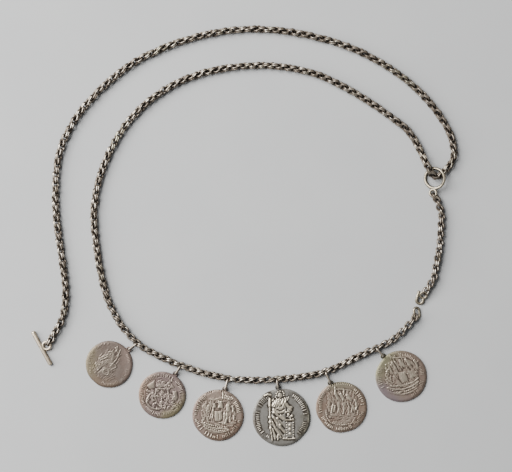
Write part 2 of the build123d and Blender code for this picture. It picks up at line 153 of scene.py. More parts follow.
class Field:
    """A value on its way through a tree of nodes: sums written with it add the nodes that work them out."""

    def __init__(self, tree, socket=None):
        self.tree = tree
        self.socket = socket

    def node(self, kind, settings=None, values=None, output=0):
        """A node of any kind: its settings go in first, then the values or fields of its sockets."""
        made = self.tree.nodes.new(kind)
        for name, setting in (settings or {}).items():
            if name == "points":
                line = made.mapping.curves[0]
                while len(line.points) < len(setting):
                    line.points.new(0.5, 0.5)
                for point, place in zip(line.points, setting):
                    point.location = place
                    point.handle_type = "VECTOR"
                made.mapping.update()
            else:
                setattr(made, name, setting)
        for name, value in (values or {}).items():
            if isinstance(value, Field):
                self.tree.links.new(value.socket, made.inputs[name])
            else:
                made.inputs[name].default_value = value
        return Field(self.tree, made.outputs[output] if made.outputs else None)

    def out(self, name):
        return Field(self.tree, self.socket.node.outputs[name])

    def maths(self, operation, *values):
        return self.node("ShaderNodeMath", {"operation": operation}, dict(enumerate(values)))

    def vector(self, operation, *values):
        return self.node("ShaderNodeVectorMath", {"operation": operation}, dict(enumerate(values)))

    def scaled(self, by):
        return self.node("ShaderNodeVectorMath", {"operation": "SCALE"}, {0: self, "Scale": by})

    def __add__(self, other):
        return self.maths("ADD", self, other)

    def __radd__(self, other):
        return self.maths("ADD", other, self)

    def __sub__(self, other):
        return self.maths("SUBTRACT", self, other)

    def __rsub__(self, other):
        return self.maths("SUBTRACT", other, self)

    def __mul__(self, other):
        return self.maths("MULTIPLY", self, other)

    def __rmul__(self, other):
        return self.maths("MULTIPLY", other, self)

    def __truediv__(self, other):
        return self.maths("DIVIDE", self, other)

    def __pow__(self, other):
        return self.maths("POWER", self, other)

    def ramp(self, low, high):
        """0 below low, 1 above high, and a soft rise between them."""
        limits = {"Value": self, "From Min": low, "From Max": high}
        return self.node("ShaderNodeMapRange", {"interpolation_type": "SMOOTHSTEP"}, limits)

    def blend(self, first, second):
        """The colour that lies this far from the first to the second."""
        colours = [colour if isinstance(colour, Field) else (*colour, 1) for colour in (first, second)]
        mixed = {0: self, 6: colours[0], 7: colours[1]}
        return self.node("ShaderNodeMix", {"data_type": "RGBA"}, mixed, 2)


def new_material(name):
    """An empty material: its first field, and the shader that its fields feed."""
    material = bpy.data.materials.new(name)
    material.use_nodes = True
    tree = material.node_tree
    tree.nodes.clear()
    start = Field(tree)
    shader = start.node("ShaderNodeBsdfPrincipled")
    start.node("ShaderNodeOutputMaterial", values={"Surface": shader})
    return material, start, shader.socket.node


def feed(shader, **inputs):
    """Fields and plain values go to the shader's sockets, named with _ for a space."""
    for name, value in inputs.items():
        socket = shader.inputs[name.replace("_", " ")]
        if isinstance(value, Field):
            value.tree.links.new(value.socket, socket)
        else:
            socket.default_value = value


def speckle(start, size, detail=3.0, roughness=0.6):
    """Noise whose grains are about size millimetres across."""
    place = start.node("ShaderNodeTexCoord").out("Object")
    values = {"Vector": place, "Scale": 1 / (size * MM), "Detail": detail, "Roughness": roughness}
    return start.node("ShaderNodeTexNoise", values=values)


def marked(start, name):
    """A number that is stored on the mesh."""
    return start.node("ShaderNodeAttribute", {"attribute_name": name}).out("Fac")


def bumped(start, height, depth):
    """The surface's normal over a height of 0 to 1, depth millimetres deep."""
    return start.node("ShaderNodeBump", values={"Strength": 1.0, "Distance": depth * MM, "Height": height})


def chain_silver():
    """Silver that is bright where the links are worn and, as a painted highlight, where their wire faces up; brown
    on their sides and black inside, as tarnished metal and painted shade.
    """
    tarnish_and_shade, brown = (0.045, 0.034, 0.025), (0.165, 0.13, 0.098)
    dull, silver, green = (0.46, 0.39, 0.31), (0.90, 0.81, 0.68), (0.38, 0.38, 0.24)
    cloud_size, grain_size, nick_size, nick_depth = 16.0, 1.1, 0.5, 0.04
    grain_share, tone_share, green_share = 0.60, 0.14, 0.7
    worn_share, up_highlight_share, side_shade_share = 0.55, 0.65, 0.4
    shine, shade, patches = (0.90, 1.14), (0.35, 1.1), (0.48, 0.72)
    material, start, shader = new_material("chain_silver")
    tone = marked(start, "tone")
    normal = start.node("ShaderNodeNewGeometry").out("Normal")
    up = start.node("ShaderNodeSeparateXYZ", values={0: normal}).out("Z")
    worn = marked(start, "worn") + (speckle(start, grain_size) - 0.5) * grain_share + (tone - 0.5) * tone_share
    # Bright is wear on the outer wire and a painted highlight where the wire faces up; below it the colour runs
    # from brown to black as the wire faces down or lies inside the next link, as tarnished metal and painted shade.
    bright = (worn * worn_share + up * up_highlight_share).ramp(*shine)
    metal = tone.blend(dull, silver)
    metal = (speckle(start, cloud_size).ramp(*patches) * green_share).blend(metal, green)
    sides = (worn + up * side_shade_share).ramp(*shade).blend(tarnish_and_shade, brown)
    feed(
        shader,
        Base_Color=bright.blend(sides, metal),
        Metallic=bright * 0.50 + 0.45,
        Roughness=0.48 - bright * 0.22,
        Normal=bumped(start, speckle(start, nick_size), nick_depth),
    )
    return material


def chain_tree(places, turns):
    """Pairs of links along a route. Both lists are marks on the count of pairs, which runs from 0 to 1: how far
    along the route a pair lies, and how far it is turned, in whole turns."""
    tree = bpy.data.node_groups.new("double_chain", "GeometryNodeTree")
    kinds = {
        "Route": "Geometry", "Pairs": "Int", "Link length": "Float", "Link width": "Float", "Wire": "Float",
        "Spread": "Float", "Shake": "Float", "Slack": "Float", "Shift": "Float", "Lean": "Float", "Seed": "Int",
        "Silver": "Material",
    }
    for name, kind in kinds.items():
        tree.interface.new_socket(name, in_out="INPUT", socket_type="NodeSocket" + kind)
    tree.interface.new_socket("Chain", in_out="OUTPUT", socket_type="NodeSocketGeometry")
    start = Field(tree)
    given = start.node("NodeGroupInput")
    length, width, wire, seed = (given.out(name) for name in ("Link length", "Link width", "Wire", "Seed"))

    circle = start.node("GeometryNodeCurvePrimitiveCircle", values={
        "Resolution": LINK_CORNERS, "Radius": width / 2})
    circle = start.node("GeometryNodeTransform", values={
        "Geometry": circle, "Rotation": (0, 0, math.pi / LINK_CORNERS)})
    corner = start.node("GeometryNodeInputPosition")
    aside = start.maths("SIGN", start.node("ShaderNodeSeparateXYZ", values={0: corner}))
    drawn_out = start.node("ShaderNodeCombineXYZ", values={0: aside * (length - width) / 2})
    oval = start.node("GeometryNodeSetPosition", values={"Geometry": circle, "Offset": drawn_out})
    profile = start.node("GeometryNodeCurvePrimitiveCircle", values={
        "Resolution": WIRE_SIDES, "Radius": wire / 2})
    link = start.node("GeometryNodeCurveToMesh", values={"Curve": oval, "Profile Curve": profile})
    twins = start.node("GeometryNodeJoinGeometry")
    for half in (-0.5, 0.5):
        beside = start.node("ShaderNodeCombineXYZ", values={2: given.out("Spread") * half})
        moved = start.node("GeometryNodeTransform", values={"Geometry": link, "Translation": beside})
        tree.links.new(moved.socket, twins.socket.node.inputs[0])
    parts = start.node("ShaderNodeSeparateXYZ", values={0: corner})
    # Worn is how far the wire lies out from the link's middle line, less its ends: the outer wire counts as worn
    # bright, and the wire near the middle line and at the ends, where the links lie in each other, is painted dark
    # as tarnished metal and painted shade.
    reach = (parts.out("Y") ** 2 + parts.out("Z") ** 2) ** 0.5
    off_middle = start.maths("ABSOLUTE", parts.out("X")) / length
    worn = reach / (CHAIN_HALF * MM) - off_middle.ramp(END_FROM, END_TO) * END_TARNISH_AND_SHADE
    twins = start.node("GeometryNodeStoreNamedAttribute", values={
        "Geometry": twins, "Name": "worn", "Value": worn})

    number = start.node("GeometryNodeInputIndex")
    share = (number + 0.5) / given.out("Pairs")
    place = start.node("ShaderNodeFloatCurve", {"points": places}, {"Value": share})
    on_route = start.node("GeometryNodeSampleCurve", {"mode": "FACTOR"}, {
        "Curves": given.out("Route"), "Factor": place})
    points = start.node("GeometryNodePoints", values={
        "Count": given.out("Pairs"), "Position": on_route.out("Position")})
    shift = start.node("FunctionNodeRandomValue", {"data_type": "FLOAT_VECTOR"}, {
        0: (-1, -1, 0), 1: (1, 1, 1), "Seed": seed + SHIFT_DRAW})
    points = start.node("GeometryNodeSetPosition", values={
        "Geometry": points, "Offset": shift.scaled(given.out("Shift"))})

    along = on_route.out("Tangent")
    side = start.vector("NORMALIZE", start.vector("CROSS_PRODUCT", along, (0, 0, 1)))
    upward = start.vector("NORMALIZE", start.vector("CROSS_PRODUCT", side, along))
    twist = start.node("ShaderNodeFloatCurve", {"points": turns}, {"Value": share})
    shake = start.node("FunctionNodeRandomValue", {"data_type": "FLOAT"}, {
        2: 0 - given.out("Shake"), 3: given.out("Shake"), "Seed": seed}, 1)
    roll = number * (math.pi / 2) + twist * (2 * math.pi) + shake
    across, above = (start.maths(part, roll) for part in ("COSINE", "SINE"))
    face = start.vector("ADD", side.scaled(across), upward.scaled(above))
    wander = start.node("FunctionNodeRandomValue", {"data_type": "FLOAT_VECTOR"}, {
        0: (-1, -1, -FLAT_WANDER), 1: (1, 1, FLAT_WANDER), "Seed": seed + TIP_DRAW})
    leaned = start.vector("SUBTRACT", start.vector("NORMALIZE", along), side.scaled(given.out("Lean")))
    tilted = start.vector("ADD", leaned, wander.scaled(given.out("Slack")))
    turned = start.node("FunctionNodeAxesToRotation", {"primary_axis": "X", "secondary_axis": "Z"}, {
        0: tilted, 1: face})
    laid = start.node("GeometryNodeInstanceOnPoints", values={
        "Points": points, "Instance": twins, "Rotation": turned})
    tone = start.node("FunctionNodeRandomValue", {"data_type": "FLOAT"}, {"Seed": seed + TONE_DRAW}, 1)
    laid = start.node("GeometryNodeStoreNamedAttribute", {"domain": "INSTANCE"}, {
        "Geometry": laid, "Name": "tone", "Value": tone})
    real = start.node("GeometryNodeRealizeInstances", values={"Geometry": laid})
    smooth = start.node("GeometryNodeSetShadeSmooth", values={"Geometry": real})
    done = start.node("GeometryNodeSetMaterial", values={"Geometry": smooth, "Material": given.out("Silver")})
    start.node("NodeGroupOutput", values={"Chain": done})
    return tree


CHAIN_SILVER = chain_silver()


def chain(name, route, link_length, pairs, turns, hanging, seed):
    """A run of the chain along its route, in place of its CAD node."""
    places = [(0, 0), *(((pair + 0.5) / pairs, share) for pair, share in hanging), (1, 1)]
    marks = [((pair + 0.5) / pairs, turn / 360) for pair, turn in turns]
    tree = chain_tree(places, marks)
    curve = route_curve(name + "_route", route)
    modifier = curve.modifiers.new("links", "NODES")
    modifier.node_group = tree
    given = {
        "Pairs": pairs, "Link length": link_length * MM, "Link width": LINK_WIDTH * MM, "Wire": LINK_WIRE * MM,
        "Spread": TWIN_SPREAD * MM, "Shake": math.radians(ROLL_SHAKE), "Slack": LINK_SLACK,
        "Shift": LINK_SHIFT * MM, "Lean": LINK_LEAN, "Seed": seed, "Silver": CHAIN_SILVER,
    }
    for item in tree.interface.items_tree:
        if item.name in given:
            modifier[item.identifier] = given[item.name]
    links = plain_mesh(curve, name + "_links")
    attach(links, "root")
    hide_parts(name)


chain("chain_outer", OUTER_ROUTE, OUTER_LINK_LENGTH, OUTER_PAIRS, OUTER_TURNS, OUTER_START, seed=3)
chain("chain_inner", INNER_ROUTE, INNER_LINK_LENGTH, INNER_PAIRS, INNER_TURNS, HANGING_PAIRS, seed=5)
chain("chain_short", SHORT_ROUTE, INNER_LINK_LENGTH, SHORT_PAIRS, SHORT_TURNS, SHORT_START, seed=8)

# The fittings are bent from round silver wire and soldered: the ring with its small eye, the toggle bar with the
# loop at its middle, the small hook and the oval end ring. The top of their wire is bright, while the sloping
# sides and the insides of the rings are painted brown and green, as painted shade over tarnished metal.
JOIN_WITHIN = 0.002
SHARPEST_BEND = 50.0
RING_MIDDLE = (104.2, 31.4)
END_RING_MIDDLE = (94.5, -42.3)
HOOK_MIDDLE = (97.0, -34.6)
RING_SOLDER = 0.20
BAR_SOLDER = 0.22
SMALL_SOLDER = 0.16
INSIDE_TARNISH_AND_SHADE = (0.075, 0.066, 0.042)


def fitting_silver(name, top, shade, side, shoulder):
    """Silver with a clouded bright top, and browner sides and dark walls round the ring's middle as painted shade.
    The shoulder is how far the wire's surface slopes where its shaded sides begin to show, and where they are all
    there is."""
    cloud_size, scratch_size, scratch_depth = 3.0, 0.35, 0.02
    clouds, cloud_share, walls = (0.35, 0.68), 0.2, (0.15, 0.8)
    material, start, shader = new_material(name)
    cloud = speckle(start, cloud_size).ramp(*clouds)
    # The sloping sides of the wire are painted darker, as painted shade, and the walls that face the ring's middle
    # are painted dark, as painted shade over tarnished metal.
    steep = (marked(start, "steep") + (cloud - 0.5) * cloud_share).ramp(*shoulder)
    inner = marked(start, "inner").ramp(*walls)
    metal = steep.blend(cloud.blend(top, shade), side)
    feed(
        shader,
        Base_Color=inner.blend(metal, INSIDE_TARNISH_AND_SHADE),
        Metallic=0.78,
        Roughness=0.32 + cloud * 0.12,
        Normal=bumped(start, speckle(start, scratch_size, 2.0), scratch_depth),
    )
    return material


def mark(mesh, name, values):
    """A number for each corner, stored on the mesh for its material."""
    mesh.attributes.new(name, "FLOAT", "POINT").data.foreach_set("value", values.astype(np.float32))


def shaded_round(name, material, middle=None, solder=0.0):
    """A CAD node's own shape in its place, with its facets joined so that its wire shades round. Solder is how much
    thicker its skin is, in millimetres. Nothing of it goes below its underside."""
    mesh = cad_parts[name].data.copy()
    joined = bmesh.new()
    joined.from_mesh(mesh)
    bmesh.ops.remove_doubles(joined, verts=joined.verts, dist=JOIN_WITHIN * MM)
    joined.to_mesh(mesh)
    joined.free()
    mesh.shade_smooth()
    mesh.set_sharp_from_angle(angle=math.radians(SHARPEST_BEND))
    places = np.array([vertex.co for vertex in mesh.vertices])
    normals = np.array([vertex.normal for vertex in mesh.vertices])
    thicker = places + normals * solder * MM
    thicker[:, 2] = np.maximum(thicker[:, 2], places[:, 2].min())
    mesh.vertices.foreach_set("co", thicker.astype(np.float32).reshape(-1))
    inner = np.zeros(len(places))
    if middle:
        inward = np.array(middle) * MM - places[:, :2]
        inward = inward / np.linalg.norm(inward, axis=1)[:, None]
        inner = np.clip((inward * normals[:, :2]).sum(1), 0, 1)
    # These marks carry the painted shade: the wire's slope, and how far it faces the ring's middle.
    mark(mesh, "steep", 1 - np.abs(normals[:, 2]))
    mark(mesh, "inner", inner)
    mesh.materials.clear()
    mesh.materials.append(material)
    made = placed(name + "_wire", mesh)
    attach(made, "root")
    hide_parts(name)


# The side colours are painted shade on the wire's sloping sides.
ring_silver = fitting_silver(
    "ring_silver",
    top=(0.55, 0.48, 0.36), shade=(0.40, 0.34, 0.25), side=(0.11, 0.09, 0.06), shoulder=(0.06, 0.62),
)
bar_silver = fitting_silver(
    "bar_silver",
    top=(0.95, 0.81, 0.61), shade=(0.76, 0.62, 0.46), side=(0.22, 0.155, 0.095), shoulder=(0.02, 0.52),
)
shaded_round("ring", ring_silver, RING_MIDDLE, RING_SOLDER)
shaded_round("end_ring", ring_silver, END_RING_MIDDLE, SMALL_SOLDER)
shaded_round("hook", ring_silver, HOOK_MIDDLE, SMALL_SOLDER)
shaded_round("toggle_bar", bar_silver, solder=BAR_SOLDER)

# Each coin hangs by an oval ring of silver wire, which goes through the coin's soldered eye and through one pair
# of the chain's links, and is soldered shut. Its top is pale and its sloping sides and ends are painted brown, as
# painted shade.
jump_silver = fitting_silver(
    "jump_silver",
    top=(0.56, 0.49, 0.40), shade=(0.34, 0.28, 0.22), side=(0.10, 0.075, 0.05), shoulder=(0.25, 0.75),
)
for number in range(len(HANGING_PAIRS)):
    shaded_round(f"jump_ring_{number + 1}", jump_silver)

# Six old silver coins, struck by hand from thin flans, so their edges are uneven and their relief is worn. Each has
# a small wire eye soldered to its edge. Handling keeps the high places bright over brown, rose and green toning,
# and the hollows round the figures are dark.
COIN_THICKNESS = 1.1
RELIEF = 0.42
FACE_STEPS = 176
EDGE_ROUNDS_FROM = 0.90
EDGE_DROP = 0.26
EDGE_BULGE = 0.10
# The coin's edge from its face down: how far out each line lies, and its share of the face's height.
EDGE_LINES = [(0.07, 0.78), (0.10, 0.5), (0.06, 0.15), (-0.09, 0.0)]
# The edge runs in and out this often round the coin, by this share of its radius.
EDGE_WAVES, EDGE_WAVE = 5, 0.004
# Forms near the edge, in shares of the radius: the raised rim, the ring inside the lettering, and the nicks of a
# beaded border, with how many would go all round and how deep they are.
RIM_AT, RIM_SOFT = 0.955, 0.022
INNER_RING_AT, INNER_RING_SOFT = 0.745, 0.014
NICKS_FROM, NICKS_ROUND, NICK_DEPTH = 0.91, 76, 1.4
# The bars in place of lettering, in shares of the radius and in degrees round the coin. The band behind them is a
# little darker, from one share of the radius to another.
LEGEND_FROM = 0.780
LEGEND_TO = 0.905
LEGEND_SHORTER = 0.05
LEGEND_STEP = 8.4
LEGEND_SHAKE = 0.6
LEGEND_HALF_PAIR = 2.1
LEGEND_BAR = 0.030
FEWEST_BARS, MOST_BARS = 4, 8
BAND_FROM, BAND_TO = 0.72, 0.955
ORNAMENT_REACH = 0.74
# How often the relief is blurred to tell its fine hollows and its broad ones, and how much each of them counts,
# with the painted shade of the rounded margin.
FINE_BLUR, BROAD_BLUR = 16, 70
FINE_SHARE, BROAD_SHARE, MARGIN_SHADE_SHARE = 1.5, 0.55, 0.10
# How high and how hollow the edge and the eye count as, for their colour, and the coin's back.
EDGE_SHADES = (0.3, 0.62)
EYE_SHADES = (0.3, 0.68)
BACK_SHADE = 0.5
WORN_BRIGHT = (0.74, 0.65, 0.50)
TARNISH = (0.045, 0.034, 0.024)
EYE_WIRE = 0.8
EYE_ACROSS = 3.2
EYE_REACH = 0.75
EYE_TILT = 25.0
EYE_ROUNDS = 28
EYE_SIDES = 10
# Motifs are drawn as the coins lie, in hundredths of a coin's radius. A row is what it makes, its rise, its width
# or the width of its soft edge, and its points: a plate is a raised shape, a cord a round ridge, a groove a hollow
# one, beads follow a line, dots stand alone, and curls and strokes fill a box, between two of its corners, with
# small struck scrolls or with short lines that lean by the angle given last.
SHIP_UNDER_SAIL = [
    ("strokes", 65, 4, (-62, -24), (-16, 54), 100),
    ("strokes", 60, 4, (16, -36), (70, 56), 80),
    ("strokes", 55, 4, (-30, 50), (58, 74), 10),
    ("strokes", 65, 4, (-60, -72), (66, -26), -8),
    ("plate", 80, 9, (-12, 17), (14, 17), (19, 2), (16, -18), (4, -26), (-10, -24), (-15, -4)),
    ("groove", 30, 4, (2, 14), (4, -4), (3, -20)),
    ("plate", 95, 8, (1, 58), (17, 57), (20, 40), (19, 27), (0, 28), (3, 42)),
    ("groove", 30, 3, (9, 54), (10, 32)),
    ("plate", 80, 6, (-18, 47), (-10, 47), (-6, 36), (-8, 28), (-18, 30)),
    ("plate", 95, 7, (33, 45), (46, 42), (49, 28), (46, 13), (33, 14)),
    ("plate", 75, 9, (20, 10), (42, 10), (41, -12), (30, -37), (18, -34), (22, -12)),
    ("groove", 35, 4, (31, 8), (30, -12), (24, -30)),
    ("cord", 85, 6, (57, 36), (60, 24), (58, 12)),
    ("cord", 75, 5, (62, -2), (62, -18)),
    ("cord", 80, 6, (47, -8), (48, -26)),
    ("cord", 80, 6, (-20, 20), (-17, 6), (-21, -10)),
    ("cord", 60, 5, (-26, 4), (-30, -14)),
    ("cord", 95, 6, (21, 91), (20, 66)),
    ("cord", 70, 6, (27, 68), (38, 64), (50, 60)),
    ("cord", 55, 4, (-26, 62), (0, 63), (24, 60)),
    ("groove", 60, 5, (21, 60), (23, 26), (18, 14)),
    ("groove", 60, 5, (-18, 23), (0, 22), (18, 23)),
    ("groove", 60, 5, (44, 10), (44, -14), (34, -38)),
    ("groove", 45, 4, (-24, 22), (-14, 2), (-18, -22)),
    ("curls", 75, 5, (-60, -22), (-30, 36)),
    ("curls", 60, 4, (28, 58), (62, 72)),
    ("curls", 60, 4, (50, -44), (70, 8)),
    ("beads", 75, 5, (-60, -26), (-42, -32), (-30, -38), (0, -45), (27, -46)),
    ("cord", 60, 5, (-58, -34), (-30, -45), (2, -53), (34, -51)),
    ("beads", 65, 5, (-52, -43), (-26, -52), (4, -60), (40, -57)),
    ("cord", 55, 5, (-44, -53), (-16, -62), (12, -67), (44, -60)),
    ("groove", 60, 5, (-34, -66), (-10, -73), (20, -74), (42, -67)),
]
SHIP_AT_SEA = [
    ("strokes", 60, 4, (-60, -30), (0, 66), 108),
    ("strokes", 60, 4, (-10, -30), (66, 62), 76),
    ("strokes", 55, 4, (-56, -70), (56, -26), 4),
    ("cord", 85, 6, (-25, 78), (-25, 50)),
    ("cord", 70, 4, (-22, 71), (7, 71), (40, 66)),
    ("cord", 80, 6, (10, 70), (10, 50)),
    ("plate", 60, 8, (-30, 52), (-20, 62), (-8, 30), (-18, 28)),
    ("cord", 85, 9, (-24, 62), (-18, 46), (-12, 31)),
    ("cord", 90, 12, (-2, 51), (3, 40), (7, 30)),
    ("plate", 65, 8, (16, 52), (30, 54), (42, 36), (36, 26), (24, 30)),
    ("cord", 80, 8, (22, 47), (30, 38), (37, 27)),
    ("groove", 40, 4, (-12, 56), (-6, 42), (-2, 28)),
    ("groove", 45, 4, (12, 50), (16, 40), (20, 28)),
    ("cord", 45, 3, (-50, 58), (-38, 42), (-27, 28)),
    ("cord", 45, 3, (-46, 44), (-36, 30)),
    ("cord", 60, 5, (-44, 30), (-32, 14)),
    ("cord", 85, 7, (-33, 9), (-39, -20)),
    ("cord", 75, 7, (-24, 6), (-29, -17)),
    ("plate", 45, 9, (-20, 20), (-7, 22), (-3, 0), (-6, -24), (-18, -20), (-16, 0)),
    ("cord", 70, 5, (-12, 18), (-9, -2), (-15, -24)),
    ("plate", 50, 9, (3, 22), (16, 20), (20, 0), (14, -25), (0, -22), (4, 0)),
    ("cord", 80, 6, (6, 12), (12, -6), (7, -26)),
    ("cord", 70, 5, (23, 20), (32, 0), (27, -25)),
    ("cord", 60, 5, (35, 18), (44, 0), (38, -20)),
    ("cord", 70, 6, (46, 8), (51, -8)),
    ("cord", 95, 7, (54, 28), (59, 15), (60, 2), (57, -8)),
    ("groove", 30, 5, (-20, 27), (-10, 28), (-2, 25)),
    ("groove", 30, 5, (10, 27), (22, 24)),
    ("curls", 70, 4, (-58, -42), (-40, 34)),
    ("curls", 60, 4, (38, -32), (50, 20)),
    ("curls", 55, 4, (36, 50), (66, 66)),
    ("beads", 75, 5, (-60, -24), (-58, -38), (-50, -51), (-42, -60), (-20, -67), (0, -70), (22, -68),
     (42, -62), (53, -44)),
    ("cord", 35, 4, (-42, -29), (-10, -34), (20, -33), (44, -26)),
    ("beads", 45, 4, (-46, -40), (-10, -43), (26, -42), (46, -36)),
    ("beads", 45, 4, (-44, -49), (-10, -52), (26, -52), (46, -46)),
    ("beads", 45, 4, (-36, -58), (-10, -61), (26, -60), (38, -56)),
    ("groove", 75, 5, (-40, -67), (-20, -74), (7, -77), (30, -73), (48, -64)),
    ("cord", 60, 4, (-45, -67), (-38, -74), (-45, -81), (-52, -74), (-45, -67)),
    ("cord", 60, 4, (37, -71), (43, -77), (37, -83), (31, -77), (37, -71)),
]
SHIP_IN_WAVES = [
    ("strokes", 75, 4, (-60, -34), (66, 72), 122),
    ("strokes", 65, 4, (-56, -74), (74, -22), 16),
    ("plate", 75, 9, (-11, 17), (17, 21), (28, -16), (6, -27), (-4, -12)),
    ("cord", 55, 4, (-12, 16), (-4, -8), (6, -26)),
    ("plate", 70, 9, (23, 21), (46, 26), (60, 2), (38, -10)),
    ("groove", 50, 5, (20, 22), (32, -10)),
    ("cord", 90, 11, (-5, 62), (4, 50), (12, 40)),
    ("plate", 60, 7, (-14, 58), (-6, 66), (10, 42), (2, 32)),
    ("cord", 95, 12, (17, 65), (26, 56), (32, 46)),
    ("plate", 60, 7, (10, 66), (24, 70), (42, 50), (30, 40)),
    ("groove", 55, 5, (2, 66), (16, 48), (22, 34)),
    ("cord", 80, 7, (50, 62), (58, 50), (64, 36)),
    ("cord", 80, 9, (-35, 52), (-27, 42), (-20, 30)),
    ("cord", 75, 6, (-24, 58), (-16, 46), (-8, 32)),
    ("cord", 55, 4, (-40, 47), (-26, 24), (-12, 2)),
    ("cord", 55, 4, (-48, 36), (-34, 14), (-22, -6)),
    ("cord", 70, 5, (-30, 72), (0, 74), (18, 72)),
    ("cord", 60, 4, (-30, 70), (-44, 80)),
    ("groove", 60, 5, (-22, 26), (0, 27), (18, 30), (44, 34)),
    ("groove", 55, 5, (-26, 16), (-16, -4), (-6, -22)),
    ("curls", 75, 5, (-58, -30), (-34, 26)),
    ("curls", 55, 4, (50, -8), (66, 48)),
    ("dots", 95, 7, (-60, 45), (-57, 19), (-51, 26), (-20, 12), (25, 10), (58, 55), (57, 17), (-66, 78)),
    ("cord", 70, 5, (-42, -37), (0, -38), (47, -23), (67, -6)),
    ("groove", 20, 4, (-40, -43), (2, -44), (48, -30), (68, -12)),
    ("cord", 65, 5, (-50, -44), (-20, -52), (10, -50), (44, -38), (68, -20)),
    ("beads", 70, 5, (-40, -52), (-7, -63), (37, -53), (72, -28)),
    ("cord", 50, 5, (-30, -64), (0, -71), (36, -63), (62, -46)),
    ("cord", 45, 4, (-50, -56), (-34, -66)),
]
FIGURE_AT_A_COLUMN = [
    ("plate", 45, 7, (-36, 14), (14, 14), (18, -8), (18, -74), (-26, -76), (-33, -50), (-37, -20)),
    ("plate", 65, 9, (-33, 44), (-27, 60), (-14, 66), (10, 65), (20, 52), (18, 30), (14, 10), (-32, 10)),
    ("strokes", 95, 4, (-32, 38), (18, 62), 70),
    ("strokes", 75, 4, (-30, 14), (14, 34), 20),
    ("strokes", 55, 4, (-34, -74), (2, 8), 118),
    ("plate", 75, 7, (-14, 72), (-12, 83), (-5, 87), (3, 83), (5, 72), (-4, 65)),
    ("groove", 18, 3, (-9, 79), (-1, 79)),
    ("cord", 12, 3, (-5, 79), (-5, 75)),
    ("groove", 18, 3, (-7, 72), (-3, 72)),
    ("beads", 85, 6, (-17, 76), (-17, 83), (-12, 89), (-4, 92), (5, 90), (9, 84), (9, 76)),
    ("beads", 80, 5, (-20, 70), (-16, 66), (-8, 64), (4, 64), (12, 68)),
    ("cord", 85, 8, (-58, 76), (-48, 80), (-37, 78)),
    ("curls", 75, 4, (14, 56), (30, 72)),
    ("cord", 80, 5, (-40, 66), (-40, 5)),
    ("cord", 95, 10, (-40, 61), (-40, 40)),
    ("dots", 95, 12, (-40, 0), (-39, -17), (-37, -37)),
    ("cord", 85, 5, (-39, -5), (-37, -40), (-31, -84)),
    ("cord", 80, 6, (-30, 40), (-22, 52), (-16, 40), (-10, 54), (-4, 42), (4, 56), (8, 42)),
    ("groove", 55, 5, (-28, 34), (-12, 26), (0, 20), (10, 30)),
    ("beads", 80, 5, (-26, 28), (-14, 20), (-2, 18), (8, 24)),
    ("groove", 50, 5, (-26, 16), (-10, 8), (8, 14)),
    ("cord", 90, 11, (18, 46), (24, 36), (34, 34)),
    ("plate", 90, 6, (20, 30), (34, 36), (38, 24), (30, 14), (20, 18)),
    ("dots", 95, 10, (25, 10), (37, 5), (17, 18), (14, 54)),
    ("groove", 45, 4, (24, 26), (34, 20)),
    ("curls", 80, 4, (16, -6), (40, 12)),
    ("cord", 95, 5, (14, -9), (43, -9)),
    ("groove", 75, 4, (15, -14), (42, -14)),
    ("plate", 40, 4, (19, -17), (42, -17), (42, -70), (19, -70)),
    ("beads", 85, 5, (19, -18), (19, -70)),
    ("beads", 85, 5, (42, -18), (42, -70)),
    ("dots", 95, 12, (30, -27), (30, -41), (31, -57)),
    ("cord", 90, 5, (7, -74), (28, -75), (48, -74)),
    ("groove", 60, 8, (-30, -85), (4, -89), (38, -84)),
    ("cord", 95, 7, (-25, 17), (-10, 6), (7, -7)),
    ("groove", 80, 5, (-26, 8), (-10, -2), (4, -14)),
    ("cord", 90, 7, (-27, 0), (-12, -26), (12, -52)),
    ("groove", 80, 6, (-29, -9), (-16, -32), (8, -58)),
    ("cord", 90, 7, (-30, -17), (-18, -42), (-4, -62)),
    ("groove", 80, 6, (-31, -30), (-22, -50), (-10, -68)),
    ("cord", 85, 6, (-30, -40), (-24, -60), (-22, -76)),
    ("cord", 90, 6, (-12, -62), (-12, -78)),
    ("groove", 70, 5, (-6, -16), (4, -30), (12, -40)),
    ("groove", 70, 5, (2, -64), (4, -76)),
    ("dots", 100, 11, (-4, -27), (-14, -4), (-3, -35)),
    ("cord", 80, 6, (-2, 8), (8, 0), (12, -6)),
]
SMALL_CREST = [
    ("plate", 100, 12, (-67, 40), (-48, 54), (-30, 66), (-30, 30), (-50, 24)),
    ("plate", 100, 12, (44, 18), (62, 18), (68, -12), (60, -24), (40, -20), (46, 0)),
    ("cord", 85, 6, (-50, 5), (-64, -16), (-65, -32), (-52, -48), (-37, -58), (-12, -61)),
    ("cord", 60, 5, (-26, 26), (24, 28), (28, -14), (12, -42), (-4, -50), (-20, -36), (-30, -8), (-26, 26)),
    ("cord", 55, 4, (0, 26), (-2, -46)),
    ("cord", 55, 4, (-28, -8), (27, -8)),
    ("plate", 60, 5, (-22, 34), (24, 34), (30, 56), (14, 46), (2, 62), (-10, 46), (-24, 56)),
    ("cord", 75, 5, (-5, -27), (-2, -40), (-2, -54)),
    ("cord", 75, 5, (15, -45), (12, -60)),
    ("dots", 95, 9, (-27, -35), (-35, -38), (-5, 0), (30, 40), (-40, 8)),
    ("curls", 80, 5, (-40, -56), (52, 22)),
    ("curls", 80, 5, (-26, 24), (44, 70)),
    ("curls", 70, 5, (-66, -30), (-36, 22)),
    ("curls", 70, 5, (30, -60), (62, -24)),
]
